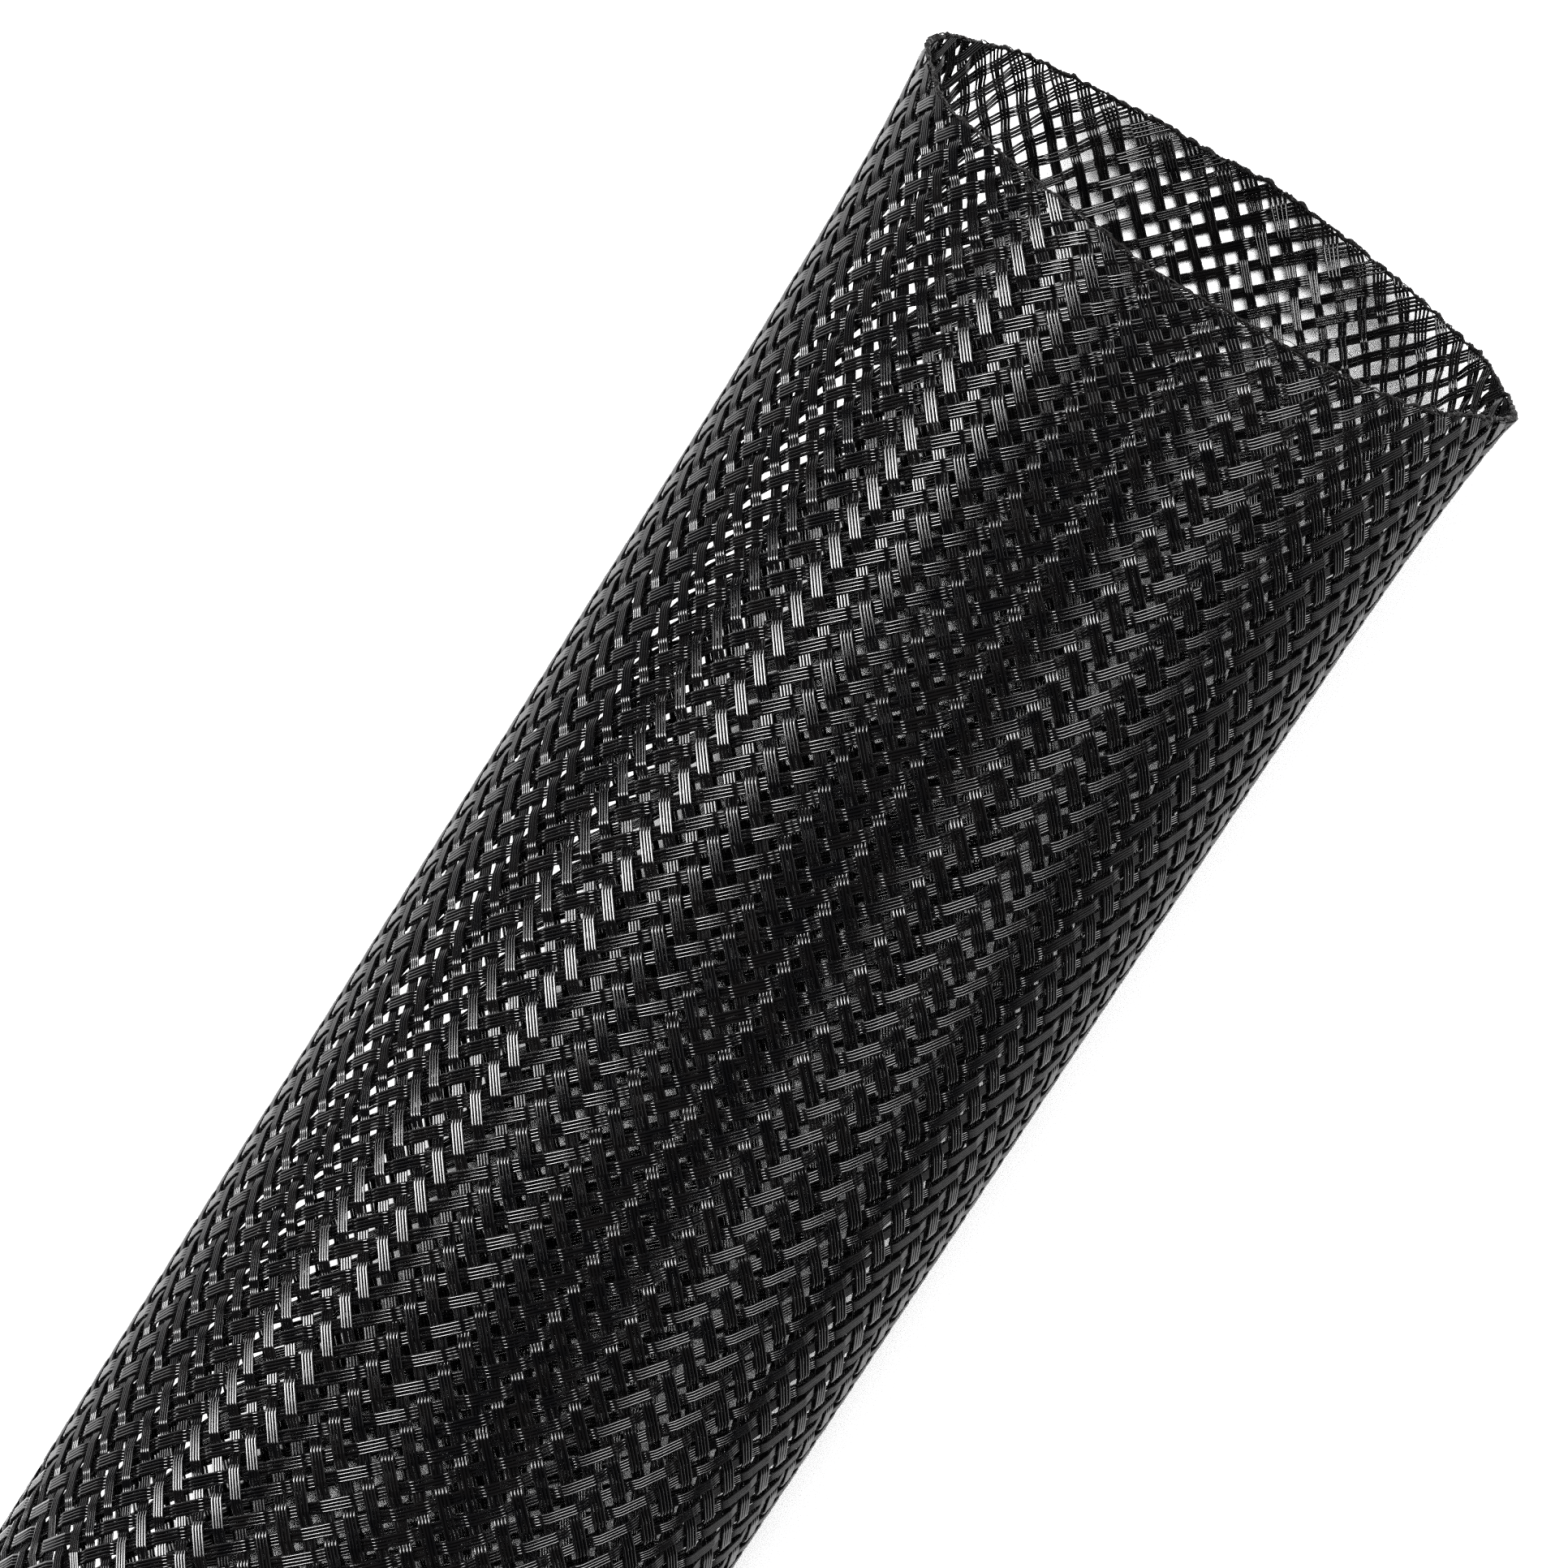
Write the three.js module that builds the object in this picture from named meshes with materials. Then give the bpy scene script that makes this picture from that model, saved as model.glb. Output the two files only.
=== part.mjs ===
// Braided cable sleeve: a hollow tube woven from black polyester monofilament, which a bundle of
// cables is pushed or laid into. It is one piece of stock, cut to length with a hot knife.
//
// Millimetres, +Z up. The tube lies along X on a level surface with its open mouth at +X, and the
// origin is on that surface, under the middle of the tube.
//
// The woven wall is one closed tube here, as thick as the braid is from crest to crest.

import * as THREE from 'three';

// One foot of stock, from cut end to cut end
const LENGTH = 304.8;

// Outside of the braid away from its ends; packed flat before use, it stays a little wider than high
const OUTER_WIDTH = 50.8;
const OUTER_HEIGHT = 48.8;

// Two layers of crossing monofilament bands, from the outermost crest to the innermost
const WALL = 0.62;

// The cut ends spread: by END_FLARE at the rim, falling by the factor e over each FLARE_REACH
const END_FLARE = 0.8;
const FLARE_REACH = 11;

// The spread is followed as far as this from each end, in steps that are finest at the rim
const FLARE_LENGTH = 44;
const FLARE_STEPS = 7;
const STEP_GROWTH = 1.6;

// Flat strips round the tube, about as many as the braid has bands each way. The flats of the
// strips, not their corners, lie at the stated width.
const SIDES = 60;
const CORNER_PER_FLAT = 1 / Math.cos(Math.PI / SIDES);

function spreadAt(distanceFromEnd) {
  return END_FLARE * Math.exp(-distanceFromEnd / FLARE_REACH);
}

// Places along the axis from the tail's rim to the mouth's rim
function stations() {
  const fromEnd = [];
  for (let step = 0; step <= FLARE_STEPS; step += 1) {
    fromEnd.push(FLARE_LENGTH * (step / FLARE_STEPS) ** STEP_GROWTH);
  }
  const tail = fromEnd.map((distance) => distance - LENGTH / 2);
  const mouth = fromEnd.map((distance) => LENGTH / 2 - distance).reverse();
  return [...tail, ...mouth];
}

// The wall's outline in the half plane beside the axis: up the outside, across the mouth's cut
// face, down the inside and back across the tail's
function wallOutline() {
  const outside = [];
  const inside = [];
  for (const place of stations()) {
    const distanceFromEnd = LENGTH / 2 - Math.abs(place);
    const radius = OUTER_WIDTH / 2 + spreadAt(distanceFromEnd);
    outside.push(new THREE.Vector2(radius * CORNER_PER_FLAT, place));
    inside.push(new THREE.Vector2((radius - WALL) * CORNER_PER_FLAT, place));
  }
  const outline = [...outside, ...inside.reverse()];
  outline.push(outline[0].clone());
  return outline;
}

// Turned about Y with a strip facing straight down, then laid along X and pressed to its height:
// top and bottom come in by the same distance outside and inside, so the wall keeps its thickness
function tubeGeometry() {
  const halfStrip = Math.PI / SIDES;
  const geometry = new THREE.LatheGeometry(wallOutline(), SIDES, halfStrip, 2 * Math.PI);
  geometry.rotateZ(-Math.PI / 2);
  const press = (OUTER_WIDTH - OUTER_HEIGHT) / 2 * CORNER_PER_FLAT;
  const corners = geometry.getAttribute('position');
  for (let index = 0; index < corners.count; index += 1) {
    const height = corners.getZ(index);
    const radius = Math.hypot(corners.getY(index), height);
    corners.setZ(index, height * (radius - press) / radius);
  }
  return geometry;
}

const blackMonofilament = new THREE.MeshStandardMaterial({
  color: 0x0d0d0f,
  roughness: 0.3,
  metalness: 0,
});

const braidedSleeve = new THREE.Mesh(tubeGeometry(), blackMonofilament);
braidedSleeve.name = 'braided_sleeve';

// The rims are the tube's lowest places, so they stand on the surface
const rimHeight = OUTER_HEIGHT / 2 + END_FLARE;
braidedSleeve.position.set(0, 0, rimHeight);

const sleeve = new THREE.Group();
sleeve.add(braidedSleeve);

export default sleeve;
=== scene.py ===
import math

import bpy
import numpy as np
from mathutils import Matrix, Vector


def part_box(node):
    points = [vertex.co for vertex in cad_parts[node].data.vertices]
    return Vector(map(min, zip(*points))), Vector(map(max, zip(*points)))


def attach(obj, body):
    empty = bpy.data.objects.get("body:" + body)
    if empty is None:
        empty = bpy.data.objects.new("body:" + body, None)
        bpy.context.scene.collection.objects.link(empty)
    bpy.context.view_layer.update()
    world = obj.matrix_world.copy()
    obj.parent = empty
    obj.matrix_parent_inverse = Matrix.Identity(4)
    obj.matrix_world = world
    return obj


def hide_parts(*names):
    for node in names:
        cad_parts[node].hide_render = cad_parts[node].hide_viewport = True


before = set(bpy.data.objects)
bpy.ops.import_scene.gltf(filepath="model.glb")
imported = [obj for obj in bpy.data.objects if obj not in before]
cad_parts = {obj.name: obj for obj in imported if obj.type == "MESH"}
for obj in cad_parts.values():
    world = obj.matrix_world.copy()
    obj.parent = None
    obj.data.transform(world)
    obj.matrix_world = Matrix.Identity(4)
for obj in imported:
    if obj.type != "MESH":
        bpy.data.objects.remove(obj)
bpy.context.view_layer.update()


# The sleeve's wall is a hollow oval tube that lies on its side. It is woven from drawn polyester
# monofilament and keeps the shape of the heat-set braid. Its cut ends spread a little, and each has
# a faint crease at both sides, from the reel that the sleeve was packed flat on.

SLEEVE = "braided_sleeve"

WALL = 0.62e-3
END_SPREAD = 0.8e-3
SPREAD_REACH = 11e-3
CREASE_RISE = 0.45e-3
CREASE_WIDTH = math.radians(13)
CREASE_REACH = 7e-3

CUT_DIPS = ((58, 26, 0.75e-3), (8, 30, 0.42e-3), (-68, 20, -0.38e-3), (150, 30, 0.24e-3))
CUT_RIPPLE = 0.07e-3
CUT_RIPPLE_WAVES = np.array([4, 7, 13])
CUT_REACH = 4.5e-3

rim_low, rim_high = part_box(SLEEVE)
tail_x = rim_low.x
mouth_x = rim_high.x
axis_height = (rim_low.z + rim_high.z) / 2
half_width = (rim_high.y - rim_low.y) / 2 - END_SPREAD - WALL / 2
half_height = (rim_high.z - rim_low.z) / 2 - END_SPREAD - WALL / 2
mean_radius = (half_width + half_height) / 2


def cut_depth(angle):
    """How far the knife cut in from the tube's full length at an angle: a few bells and a ripple."""
    depth = CUT_RIPPLE * np.sin(CUT_RIPPLE_WAVES * angle[..., None] + CUT_RIPPLE_WAVES).sum(-1)
    for place, width, dip in CUT_DIPS:
        off = np.angle(np.exp(1j * (angle - math.radians(place))))
        depth = depth + dip * np.exp(-((off / math.radians(width)) ** 2))
    return depth


def on_wall(along, angle, lift):
    """Points of the tube's wall, as an array with x, y and z last.

    The section is an oval, and angle runs round it from the top towards +Y. At a rim its radius
    grows by END_SPREAD, and by a narrow bell at each side crease, and a point is drawn back by the
    depth of the uneven cut. All three fall off exponentially with the distance from the nearer rim.
    lift is how far the point stands out from the wall's middle.
    """
    along, angle = np.broadcast_arrays(along, angle)
    from_end = np.minimum(along - tail_x, mouth_x - along).clip(0)
    spread = END_SPREAD * np.exp(-from_end / SPREAD_REACH)
    off_side = np.arccos(np.abs(np.sin(angle)).clip(0, 1))
    crease = CREASE_RISE * np.exp(-((off_side / CREASE_WIDTH) ** 2)) * np.exp(-from_end / CREASE_REACH)
    inward = np.where(along > (tail_x + mouth_x) / 2, -1, 1)
    along = along + inward * cut_depth(angle) * np.exp(-from_end / CUT_REACH)
    across = (half_width + spread + crease + lift) * np.sin(angle)
    up = axis_height + (half_height + spread + lift) * np.cos(angle)
    return np.stack(np.broadcast_arrays(along, across, up), -1)


# The braid itself is 496 round monofilaments, laid side by side in bands of four. Sixty-two bands
# wind one way round the tube and as many the other, and each passes over two bands of the other
# set, then under two. The mesh follows every filament, and is drawn finer towards the mouth.

BANDS = 62
PER_BAND = 4
FILAMENT_WIDTH = 0.254e-3
FILAMENT_PITCH = 0.265e-3
BRAID_ANGLE = math.radians(41.5)
BRAID_TURN = math.radians(1.56)
BRAID_SHIFT = 0.14e-3
END_OPENING = 0.09
OPENING_REACH = 40e-3
WEAVE_LIFT = (WALL - FILAMENT_WIDTH) / 2
WEAVE_SQUARENESS = 3.8

FAN_AT_RIM = 0.46
FAN_REACH = 3.4e-3
FAN_LEAST = 0.12
FAN_SHARES = (0.35, 1.0)
FAN_REACH_SHARES = (0.6, 1.3)
BUNCHING = 0.30
BUNCH_REACH = 19e-3
RIDE_UP = 0.065e-3
CURL_AT_RIM = 0.16e-3
CURL_REACH = 1.2e-3
UNDERSIDE_EDGE = 1.7
BAND_WANDER = math.radians(0.28)
FILAMENT_WANDER = 0.012e-3
WANDER_LENGTHS = np.array([83e-3, 47e-3, 29e-3])

DENSE_PLACES = 6000
DRAWN_TO_DIVES = 0.4
HEADING_STEP = 0.02e-3
FINE_LENGTH = 135e-3
FINE_STEPS = 6
FINE_SIDES = 4
FINE_RADIUS = 0.52 * FILAMENT_WIDTH
PLAIN_STEPS = 4
PLAIN_SIDES = 3
PLAIN_RADIUS = 0.59 * FILAMENT_WIDTH
PIECES_PER_SET = 4

seeded = np.random.default_rng(41)


def slow_waves(place, phases, lengths):
    """Sum of sines of the given wavelengths along place, one row of phases for each strand."""
    turns = place[..., None] / lengths + phases
    return np.sin(2 * math.pi * turns).sum(-1) / math.sqrt(len(lengths))


def wound(place):
    """How far round the wall a band has run at a place along the axis.

    It runs at the braid angle, which opens towards a rim: there its tangent is END_OPENING larger,
    and that falls off exponentially.
    """
    opening = np.exp((place - mouth_x) / OPENING_REACH) - np.exp((tail_x - place) / OPENING_REACH)
    return (place - BRAID_SHIFT) * math.tan(BRAID_ANGLE) + END_OPENING * OPENING_REACH * opening


def stations(start, end, steps, winding):
    """Places along the axis from start to end, steps of them in each wave of the weave.

    They start half a step off a crest and are drawn towards the dives between the crests by a
    sine. Each is looked up in a dense row of places by the phase of the weave there. The two
    outermost are start and end themselves.
    """
    dense = np.linspace(start, end, DENSE_PLACES)
    phase = BANDS * wound(dense) / (2 * mean_radius) - winding * math.pi / 4
    step = 2 * math.pi / steps
    whole = np.arange(math.ceil(phase[0] / step), math.floor(phase[-1] / step)) + 0.5
    wanted = step * whole + DRAWN_TO_DIVES * np.sin(2 * step * whole)
    room = step / 5
    inside = (wanted > phase[0] + room) & (wanted < phase[-1] - room)
    return np.concatenate([[start], np.interp(wanted[inside], phase, dense), [end]])


def filament_paths(bands, winding, wander, along):
    """Centre lines of the filaments of some bands, shaped (band, filament, station, xyz).

    A band's centre runs round the tube with winding +1 or -1, and drifts by slow waves. Its
    filaments lie beside it at a fixed pitch, square to the band. On the underside they bunch up
    behind a rim, riding up on each other in turn, and then fan out at the rim itself, as a bell of
    the distance from it. Each rises and sinks through the wall as a squared-off cosine of the angle
    round the tube, four crossings long, which puts a band over two of the other set and under the
    next two, and each band curls in or out a little where it was cut.
    """
    band = bands[:, None, None]
    place = along[None, None, :]
    drift = BAND_WANDER * slow_waves(np.broadcast_to(place, (len(bands), 1, along.size)),
                                     wander["band"][bands][:, None, None], WANDER_LENGTHS)
    centre = 2 * math.pi * band / BANDS + winding * wound(place) / mean_radius
    row = (np.arange(PER_BAND) - (PER_BAND - 1) / 2)[None, :, None]
    up_and_down = (-1.0) ** np.arange(PER_BAND)[None, :, None]
    from_end = np.minimum(place - tail_x, mouth_x - place)
    underside = (-UNDERSIDE_EDGE * np.cos(centre)).clip(0, 1)
    loose = wander["fan"][bands][:, None, None] * (FAN_LEAST + (1 - FAN_LEAST) * underside)
    at_cut = np.exp(-((from_end / (FAN_REACH * wander["reach"][bands][:, None, None])) ** 2))
    bunch = BUNCHING * underside * np.exp(-((from_end / BUNCH_REACH) ** 4)) * (1 - at_cut)
    fan = 1 - bunch + FAN_AT_RIM * loose * at_cut
    own = FILAMENT_WANDER * slow_waves(np.broadcast_to(place, (len(bands), PER_BAND, along.size)),
                                       wander["filament"][bands][:, :, None], WANDER_LENGTHS / 3)
    beside = row * FILAMENT_PITCH * fan + own
    at_rim = (place <= tail_x) | (place >= mouth_x)
    slide = np.where(at_rim, 0, -winding * beside * math.sin(BRAID_ANGLE))
    kept = np.where(at_rim, beside / math.cos(BRAID_ANGLE), beside * math.cos(BRAID_ANGLE))
    weave = np.cos(BANDS * centre / 2 - math.pi / 4)
    squared = np.tanh(WEAVE_SQUARENESS * weave) / math.tanh(WEAVE_SQUARENESS)
    curl = CURL_AT_RIM * wander["curl"][bands][:, None, None] * np.exp(-from_end / CURL_REACH)
    riding = RIDE_UP * up_and_down * bunch / BUNCHING
    lift = winding * WEAVE_LIFT * squared + curl + riding
    return on_wall(place + slide, BRAID_TURN + centre + drift + kept / mean_radius, lift)


def filament_headings(bands, winding, wander, along, paths):
    """The way each filament heads at its stations: the path a little farther less a little nearer.

    At the two ends it is the way to the neighbouring station.
    """
    farther = filament_paths(bands, winding, wander, along + HEADING_STEP)
    nearer = filament_paths(bands, winding, wander, along - HEADING_STEP)
    heading = farther - nearer
    heading[:, :, [0, -1]] = paths[:, :, [1, -1]] - paths[:, :, [0, -2]]
    return heading


def rods(paths, heading, sides, radius):
    """Closed round rods along paths shaped (rod, station, xyz): corners, normals, walls and caps.

    Each station carries a ring of corners square to the heading, one of them facing out from the
    tube's axis or, on a three-sided rod, straight in. The two ends are capped by one face each.
    """
    count, length, _ = paths.shape
    ahead = heading / np.linalg.norm(heading, axis=-1, keepdims=True)
    out = paths - np.array([0, 0, axis_height])
    out[..., 0] = 0
    out -= (out * ahead).sum(-1, keepdims=True) * ahead
    out /= np.linalg.norm(out, axis=-1, keepdims=True)
    side = np.cross(ahead, out)
    turn = 2 * math.pi * np.arange(sides) / sides + (math.pi if sides % 2 else 0)
    ring = out[:, :, None] * np.cos(turn)[:, None] + side[:, :, None] * np.sin(turn)[:, None]
    corners = (paths[:, :, None] + radius * ring).reshape(-1, 3)
    index = np.arange(count * length * sides).reshape(count, length, sides)
    onward = np.roll(index, -1, axis=2)
    walls = np.stack([index[:, :-1], onward[:, :-1], onward[:, 1:], index[:, 1:]], -1).reshape(-1, 4)
    caps = np.concatenate([index[:, 0, ::-1], index[:, -1]])
    return corners, ring.reshape(-1, 3), walls, caps


def mesh_of(name, parts):
    """One mesh object from several sets of corners, normals and faces, smooth shaded, at the origin."""
    corners = np.concatenate([part[0] for part in parts])
    normals = np.concatenate([part[1] for part in parts])
    starts = np.cumsum([0] + [len(part[0]) for part in parts])
    faces = [group + start for part, start in zip(parts, starts) for group in part[2:]]
    sizes = np.concatenate([np.full(len(group), group.shape[1]) for group in faces])
    loops = np.concatenate([group.ravel() for group in faces])
    mesh = bpy.data.meshes.new(name)
    mesh.vertices.add(len(corners))
    mesh.vertices.foreach_set("co", corners.astype(np.float32).ravel())
    mesh.loops.add(len(loops))
    mesh.loops.foreach_set("vertex_index", loops.astype(np.int32))
    mesh.polygons.add(len(sizes))
    mesh.polygons.foreach_set("loop_start", (np.cumsum(sizes) - sizes).astype(np.int32))
    mesh.update(calc_edges=True)
    mesh.validate()
    mesh.shade_smooth()
    mesh.normals_split_custom_set_from_vertices(normals.tolist())
    piece = bpy.data.objects.new(name, mesh)
    bpy.context.collection.objects.link(piece)
    return piece


def material_nodes(name):
    """A new node material with its shader, and a function that adds a node with values and links."""
    finish = bpy.data.materials.new(name)
    finish.use_nodes = True
    tree = finish.node_tree
    shader = next(node for node in tree.nodes if node.type == "BSDF_PRINCIPLED")

    def add(kind, links=(), **values):
        node = tree.nodes.new(kind)
        for key, value in values.items():
            if hasattr(node, key):
                setattr(node, key, value)
            else:
                node.inputs[key.replace("_", " ")].default_value = value
        for socket, source in dict(links).items():
            tree.links.new(source, node.inputs[socket])
        return node

    return finish, tree, shader, add


def drawn_polyester():
    """Black drawn polyester: nearly black and smooth, with gloss that varies along a filament.

    Fine noise on object coordinates shifts the roughness; a coarser one shifts the black between a
    cool and a warm tone, as carbon-filled filament from several spools does.
    """
    finish, tree, shader, add = material_nodes("drawn_polyester")
    place = add("ShaderNodeTexCoord").outputs["Object"]
    spool = add("ShaderNodeTexNoise", {"Vector": place}, Scale=420.0, Detail=2.0)
    skin = add("ShaderNodeTexNoise", {"Vector": place}, Scale=2600.0, Detail=3.0)
    tone = add("ShaderNodeValToRGB", {"Fac": spool.outputs["Fac"]})
    tone.color_ramp.elements[0].position = 0.35
    tone.color_ramp.elements[0].color = (0.0032, 0.0032, 0.0038, 1)
    tone.color_ramp.elements[1].position = 0.68
    tone.color_ramp.elements[1].color = (0.0062, 0.0056, 0.0056, 1)
    gloss = add("ShaderNodeMapRange", {"Value": skin.outputs["Fac"]})
    gloss.inputs["From Min"].default_value = 0.3
    gloss.inputs["From Max"].default_value = 0.7
    gloss.inputs["To Min"].default_value = 0.06
    gloss.inputs["To Max"].default_value = 0.13
    tree.links.new(tone.outputs["Color"], shader.inputs["Base Color"])
    tree.links.new(gloss.outputs["Result"], shader.inputs["Roughness"])
    shader.inputs["IOR"].default_value = 1.57
    return finish


def wander_of_set():
    """How the bands and filaments of one set stray: seeded phases, and shares of the fan and curl."""
    return {
        "band": seeded.random((BANDS, WANDER_LENGTHS.size)),
        "filament": seeded.random((BANDS, PER_BAND, WANDER_LENGTHS.size)),
        "fan": seeded.uniform(*FAN_SHARES, BANDS),
        "reach": seeded.uniform(*FAN_REACH_SHARES, BANDS),
        "curl": seeded.uniform(-1.0, 1.0, BANDS),
    }


polyester = drawn_polyester()
fine_start = mouth_x - FINE_LENGTH

for set_name, winding in (("right", 1), ("left", -1)):
    wander = wander_of_set()
    plain = stations(tail_x, fine_start, PLAIN_STEPS, winding)
    fine = stations(fine_start, mouth_x, FINE_STEPS, winding)
    zones = ((plain, PLAIN_SIDES, PLAIN_RADIUS), (fine, FINE_SIDES, FINE_RADIUS))
    for share, bands in enumerate(np.array_split(np.arange(BANDS), PIECES_PER_SET)):
        parts = []
        for along, sides, radius in zones:
            paths = filament_paths(bands, winding, wander, along)
            heading = filament_headings(bands, winding, wander, along, paths)
            shape = (-1, along.size, 3)
            parts.append(rods(paths.reshape(shape), heading.reshape(shape), sides, radius))
        braid = mesh_of(f"braid_{set_name}_{share + 1}", parts)
        braid.data.materials.append(polyester)
        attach(braid, "root")
        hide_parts(SLEEVE)


# Each end was cut with a hot knife, which melts the filament ends together into one lumpy bead all
# round the rim, about a lump for each millimetre. Thin threads of melt, drawn out by the knife, twist
# round the bead, and a few of them stand off as loose curled hairs.

BEAD_RADIUS = 0.15e-3
BEAD_STATIONS = 840
BEAD_SIDES = 5
BEAD_AT_SIDE = 0.95
BEAD_SAG = 0.2
BEAD_LEAST = 0.66
BEAD_ROUGHNESS = 0.24
BEAD_STRAY = 0.11e-3
BEAD_DIP = 0.10e-3
CORNER_MELT = 1.1
CORNER_WIDTH = math.radians(4.5)
LUMP_COUNT = 158
LUMP_SWELL = 0.55
LUMP_REACH = 0.09e-3
LUMP_JITTER = 1.2

THREAD_RADIUS = 0.055e-3
THREAD_UNEVENNESS = 0.35
THREAD_STATIONS = 600
THREAD_SIDES = 3
THREAD_WRAPS = (67, -43)
THREAD_JITTER = 1.3
THREAD_SWING = 0.19e-3
SWING_MEAN = 0.9
SWING_CHANGE = 0.45

HAIR_COUNT = 26
HAIR_RADIUS = 0.03e-3
HAIR_STATIONS = 26
HAIR_SIDES = 3
HAIR_LENGTHS = (1.2e-3, 4.2e-3)
HAIR_WIDEST = 1.5
HAIR_SPREAD = np.array([0.8, 1.0, 0.5])
HAIR_LEAN = 0.35
HAIR_CURL = 0.8
HAIR_SWINGS = (0.8, 2.4)


def closed_noise(turns, waves):
    """A rough wave that closes on itself over one turn: sines of whole-number counts, seeded phases."""
    phases = seeded.random(len(waves)) * 2 * math.pi
    return np.sin(np.array(waves) * turns[:, None] + phases).sum(-1) / math.sqrt(len(waves))


def closed_rod(line, thick, sides):
    """A closed loop of the given thickness along a line of points: corners, normals and walls."""
    ahead = np.roll(line, -1, axis=0) - np.roll(line, 1, axis=0)
    ahead /= np.linalg.norm(ahead, axis=-1, keepdims=True)
    out = line - np.array([0, 0, axis_height])
    out[:, 0] = 0
    out -= (out * ahead).sum(-1, keepdims=True) * ahead
    out /= np.linalg.norm(out, axis=-1, keepdims=True)
    side = np.cross(ahead, out)
    around = 2 * math.pi * np.arange(sides) / sides
    ring = out[:, None] * np.cos(around)[:, None] + side[:, None] * np.sin(around)[:, None]
    corners = (line[:, None] + thick[:, None, None] * ring).reshape(-1, 3)
    index = np.arange(len(line) * sides).reshape(len(line), sides)
    next_station = np.roll(index, -1, axis=0)
    walls = np.stack([index, np.roll(index, -1, axis=1), np.roll(next_station, -1, axis=1),
                      next_station], -1).reshape(-1, 4)
    grid = corners.reshape(len(line), sides, 3)
    lengthwise = np.roll(grid, -1, axis=0) - np.roll(grid, 1, axis=0)
    crosswise = np.roll(grid, -1, axis=1) - np.roll(grid, 1, axis=1)
    normals = np.cross(crosswise, lengthwise)
    normals /= np.linalg.norm(normals, axis=-1, keepdims=True)
    return corners, normals.reshape(-1, 3), walls


def bead_ring(rim_x, outward):
    """The bead: a loop that swells once for each lump, unevenly, and strays a little both ways.

    It is thicker on the underside, where more melt has run together, and much thicker in a narrow
    bell at each side crease.
    """
    turns = 2 * math.pi * np.arange(BEAD_STATIONS) / BEAD_STATIONS
    rough = closed_noise(turns, (37, 61, 89, 127))
    stray = closed_noise(turns, (7, 19, 53, 97))
    dip = closed_noise(turns, (5, 23, 71, 113))
    swell = np.abs(np.sin(LUMP_COUNT * turns / 2 + LUMP_JITTER * rough))
    off_side = np.arccos(np.abs(np.sin(turns)).clip(0, 1))
    corner = CORNER_MELT * np.exp(-((off_side / CORNER_WIDTH) ** 2))
    heavy = BEAD_AT_SIDE - BEAD_SAG * np.cos(turns) + corner
    thick = BEAD_RADIUS * heavy * (BEAD_LEAST + LUMP_SWELL * swell + BEAD_ROUGHNESS * rough)
    line = on_wall(rim_x + outward * (BEAD_STRAY * stray + LUMP_REACH * swell), turns, BEAD_DIP * dip)
    return closed_rod(line, thick, BEAD_SIDES)


def melt_thread(rim_x, outward, wraps):
    """A thin loop that winds round the bead wraps times, at an uneven distance from its middle."""
    turns = 2 * math.pi * np.arange(THREAD_STATIONS) / THREAD_STATIONS
    twist = wraps * turns + THREAD_JITTER * closed_noise(turns, (11, 29, 47))
    swing = THREAD_SWING * (SWING_MEAN + SWING_CHANGE * closed_noise(turns, (17, 41, 83)))
    line = on_wall(rim_x + outward * swing * np.cos(twist), turns, swing * np.sin(twist))
    thick = THREAD_RADIUS * (1 + THREAD_UNEVENNESS * closed_noise(turns, (31, 59, 101)))
    return closed_rod(line, thick, THREAD_SIDES)


def loose_hairs(rim_x, outward):
    """Curled hairs that start on the bead: each steps ahead, and its direction swings as a sine.

    They start round the upper half, within HAIR_WIDEST of the top, and lean away from the sleeve.
    """
    angle = seeded.uniform(-HAIR_WIDEST, HAIR_WIDEST, HAIR_COUNT)
    length = seeded.uniform(*HAIR_LENGTHS, HAIR_COUNT)
    aim = seeded.uniform(-1, 1, (HAIR_COUNT, 1, 3)) * HAIR_SPREAD
    aim[..., 0] += HAIR_LEAN * outward
    swings = seeded.uniform(*HAIR_SWINGS, (HAIR_COUNT, 1, 3))
    phases = seeded.uniform(0, 2 * math.pi, (HAIR_COUNT, 1, 3))
    share = np.linspace(0, 1, HAIR_STATIONS)[None, :, None]
    way = aim + HAIR_CURL * np.sin(2 * math.pi * swings * share + phases)
    way /= np.linalg.norm(way, axis=-1, keepdims=True)
    steps = way * (length / HAIR_STATIONS)[:, None, None]
    paths = on_wall(rim_x, angle, 0.0)[:, None] + np.cumsum(steps, axis=1)
    return rods(paths, np.gradient(paths, axis=1), HAIR_SIDES, HAIR_RADIUS)


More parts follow.
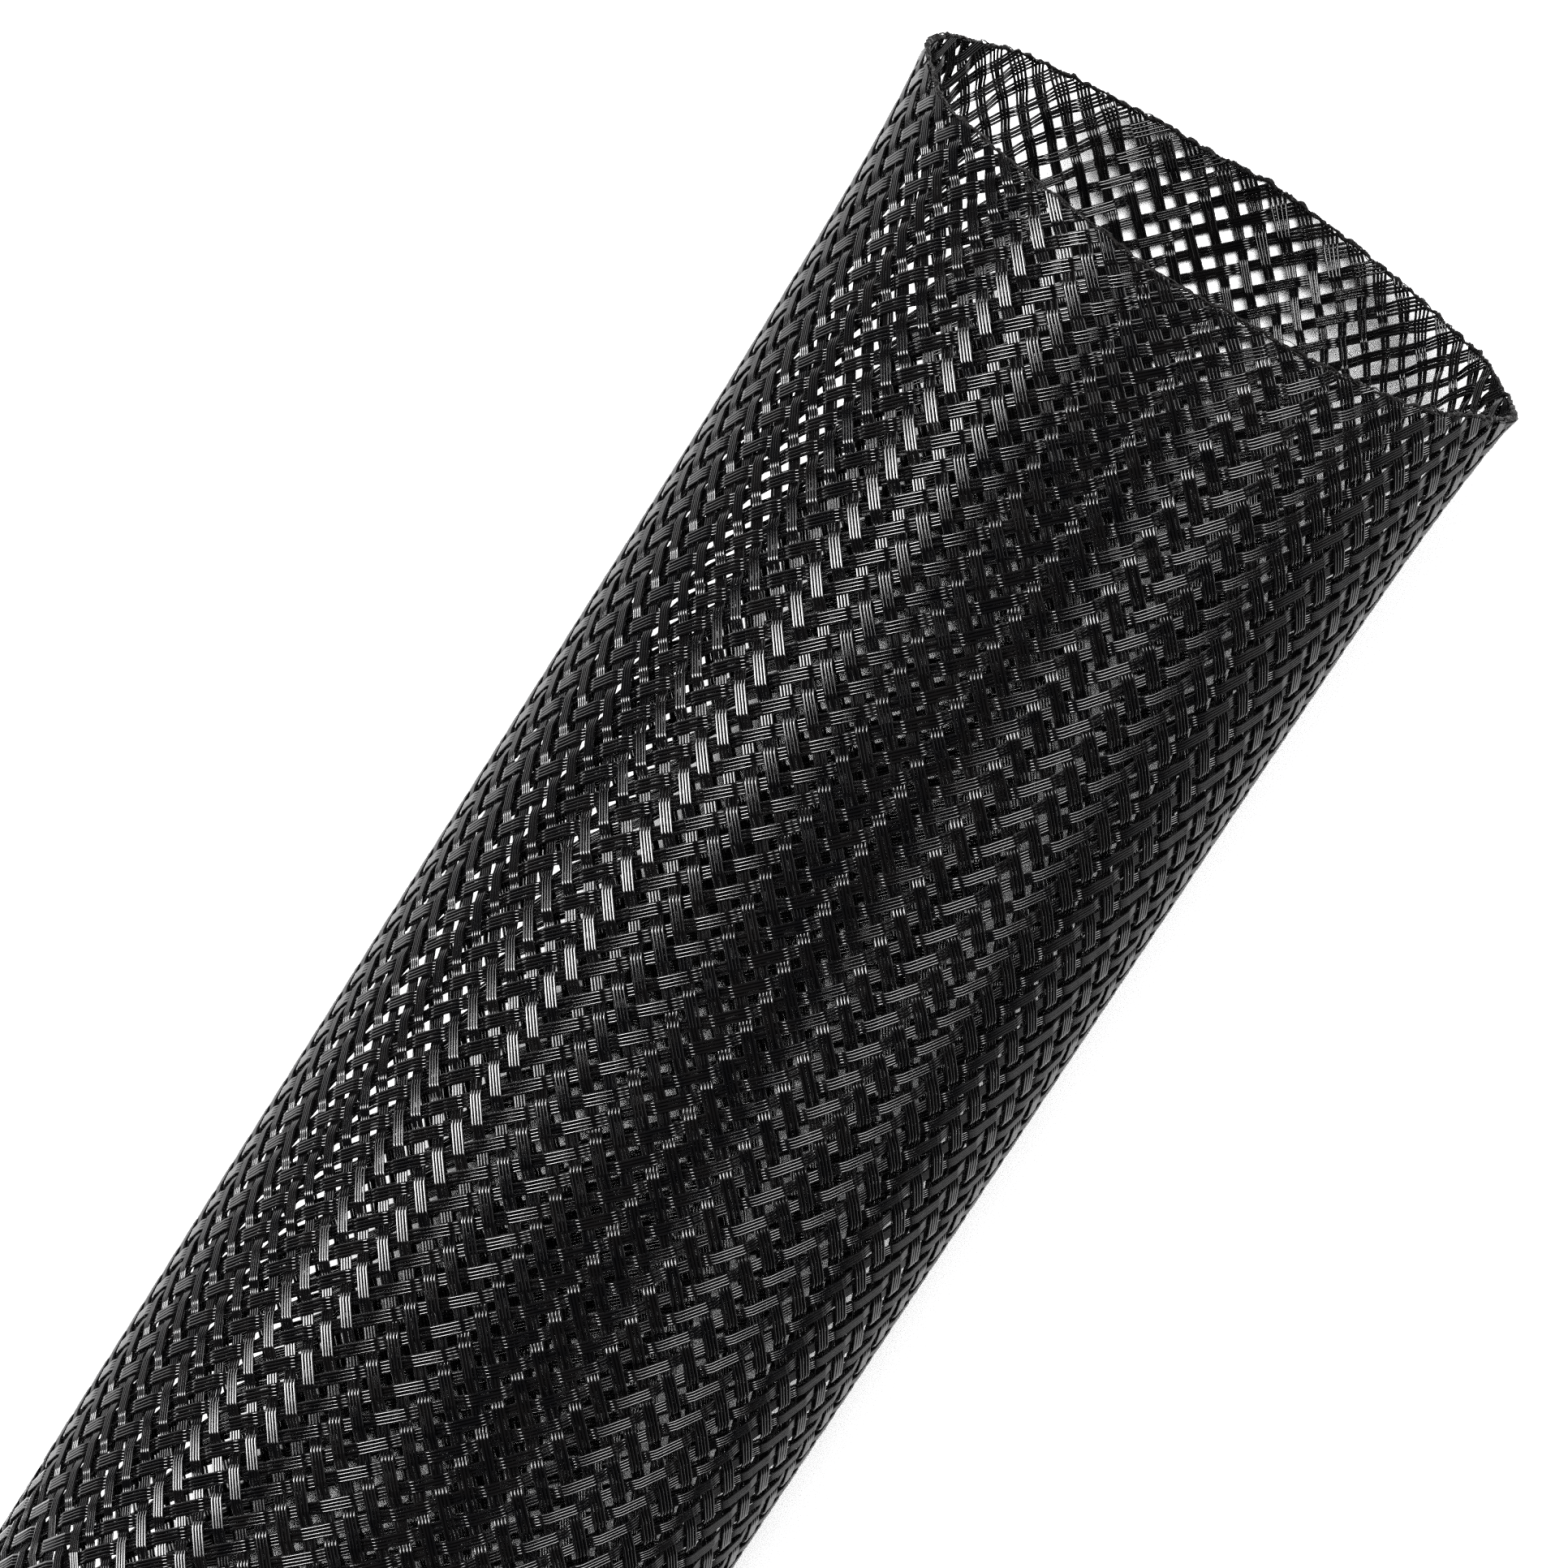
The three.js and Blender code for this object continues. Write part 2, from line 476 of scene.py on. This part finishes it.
def melted_polyester():
    """Polyester that has melted and set: still black, but duller and browner than drawn filament.

    One noise on object coordinates shifts both the tone and the roughness, and a finer one pits it.
    """
    finish, tree, shader, add = material_nodes("melted_polyester")
    place = add("ShaderNodeTexCoord").outputs["Object"]
    scorch = add("ShaderNodeTexNoise", {"Vector": place}, Scale=900.0, Detail=4.0)
    pits = add("ShaderNodeTexNoise", {"Vector": place}, Scale=5200.0, Detail=2.0)
    bump = add("ShaderNodeBump", {"Height": pits.outputs["Fac"]}, Strength=1.0, Distance=0.12e-3)
    tone = add("ShaderNodeValToRGB", {"Fac": scorch.outputs["Fac"]})
    tone.color_ramp.elements[0].color = (0.004, 0.004, 0.0045, 1)
    tone.color_ramp.elements[1].color = (0.008, 0.0065, 0.0058, 1)
    gloss = add("ShaderNodeMapRange", {"Value": scorch.outputs["Fac"]})
    gloss.inputs["To Min"].default_value = 0.28
    gloss.inputs["To Max"].default_value = 0.60
    tree.links.new(tone.outputs["Color"], shader.inputs["Base Color"])
    tree.links.new(gloss.outputs["Result"], shader.inputs["Roughness"])
    tree.links.new(bump.outputs["Normal"], shader.inputs["Normal"])
    shader.inputs["IOR"].default_value = 1.3
    return finish


melted = melted_polyester()
for end_name, rim_x, outward in (("mouth", mouth_x, 1), ("tail", tail_x, -1)):
    threads = [melt_thread(rim_x, outward, wraps) for wraps in THREAD_WRAPS]
    hairs = loose_hairs(rim_x, outward)
    rim = mesh_of(f"fused_rim_{end_name}", [bead_ring(rim_x, outward), *threads, hairs])
    rim.data.materials.append(melted)
    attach(rim, "root")
    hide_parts(SLEEVE)


# The sleeve lies on a plain white surface, wide enough to fill every view.

FLOOR_HALF = 3.0

floor_mesh = bpy.data.meshes.new("floor")
floor_mesh.from_pydata([(-FLOOR_HALF, -FLOOR_HALF, 0), (FLOOR_HALF, -FLOOR_HALF, 0),
                        (FLOOR_HALF, FLOOR_HALF, 0), (-FLOOR_HALF, FLOOR_HALF, 0)], [], [(0, 1, 2, 3)])
floor = bpy.data.objects.new("floor", floor_mesh)
bpy.context.collection.objects.link(floor)
paper, paper_tree, paper_shader, paper_add = material_nodes("white_card")
paper_place = paper_add("ShaderNodeTexCoord").outputs["Object"]
grain = paper_add("ShaderNodeTexNoise", {"Vector": paper_place}, Scale=60.0, Detail=3.0)
shade = paper_add("ShaderNodeValToRGB", {"Fac": grain.outputs["Fac"]})
shade.color_ramp.elements[0].color = (0.88, 0.88, 0.88, 1)
shade.color_ramp.elements[1].color = (0.92, 0.92, 0.92, 1)
paper_tree.links.new(shade.outputs["Color"], paper_shader.inputs["Base Color"])
paper_shader.inputs["Roughness"].default_value = 0.9
floor.data.materials.append(paper)


# The light is a studio's: an upright strip on the +Y side, a square panel high out past the mouth,
# which keeps the surface white on both sides of the sleeve and under its mouth, and a low, weak fill.

LIT_X = 0.06
SKY_COLOUR = (0.9, 0.95, 1.0, 1)
SKY_STRENGTH = 0.03
VIEW_GAMMA = 0.82

lit_middle = Vector((LIT_X, 0, axis_height))


def soft_box(name, azimuth, elevation, distance, width, height, power):
    """An area light aimed at the sleeve's front half; azimuth turns from +X towards +Y, in degrees."""
    turn, rise = math.radians(azimuth), math.radians(elevation)
    way = Vector((math.cos(turn) * math.cos(rise), math.sin(turn) * math.cos(rise), math.sin(rise)))
    lamp = bpy.data.lights.new(name, "AREA")
    lamp.shape = "RECTANGLE"
    lamp.size, lamp.size_y = width, height
    lamp.energy = power
    box = bpy.data.objects.new(name, lamp)
    box.location = lit_middle + way * distance
    box.rotation_mode = "QUATERNION"
    box.rotation_quaternion = way.to_track_quat("Z", "Y")
    bpy.context.collection.objects.link(box)


soft_box("key_strip", azimuth=98, elevation=52, distance=1.0, width=0.24, height=0.42, power=19)
soft_box("mouth_panel", azimuth=-5, elevation=60, distance=1.3, width=0.60, height=0.60, power=29)
soft_box("side_fill", azimuth=-52, elevation=30, distance=1.2, width=0.50, height=0.36, power=2)

world = bpy.data.worlds.new("studio")
world.use_nodes = True
sky = world.node_tree.nodes["Background"]
sky.inputs["Color"].default_value = SKY_COLOUR
sky.inputs["Strength"].default_value = SKY_STRENGTH
bpy.context.scene.world = world
bpy.context.scene.view_settings.view_transform = "Standard"
bpy.context.scene.view_settings.gamma = VIEW_GAMMA

# Denoising would wipe out the filament lines, which are only about two pixels wide
bpy.context.scene.cycles.use_denoising = False


# The camera looks down on the sleeve from beyond its mouth, with the sleeve running across the picture
# from the lower left to the upper right.

CAMERA_PLACE = Vector((0.28665, 0.0050, 0.70511))
CAMERA_LEAN = math.radians(15.60)
CAMERA_ROLL = math.radians(57.07)
LENS_MM = 208.6

forward = Vector((-math.sin(CAMERA_LEAN), 0, -math.cos(CAMERA_LEAN)))
along_tube = Vector((math.cos(CAMERA_LEAN), 0, -math.sin(CAMERA_LEAN)))
right = math.cos(CAMERA_ROLL) * along_tube - math.sin(CAMERA_ROLL) * Vector((0, 1, 0))
up = math.sin(CAMERA_ROLL) * along_tube + math.cos(CAMERA_ROLL) * Vector((0, 1, 0))
lens = bpy.data.cameras.new("camera")
lens.lens = LENS_MM
camera = bpy.data.objects.new("camera", lens)
facing = Matrix((right, up, -forward)).transposed().to_4x4()
camera.matrix_world = Matrix.Translation(CAMERA_PLACE) @ facing
bpy.context.collection.objects.link(camera)
bpy.context.scene.camera = camera
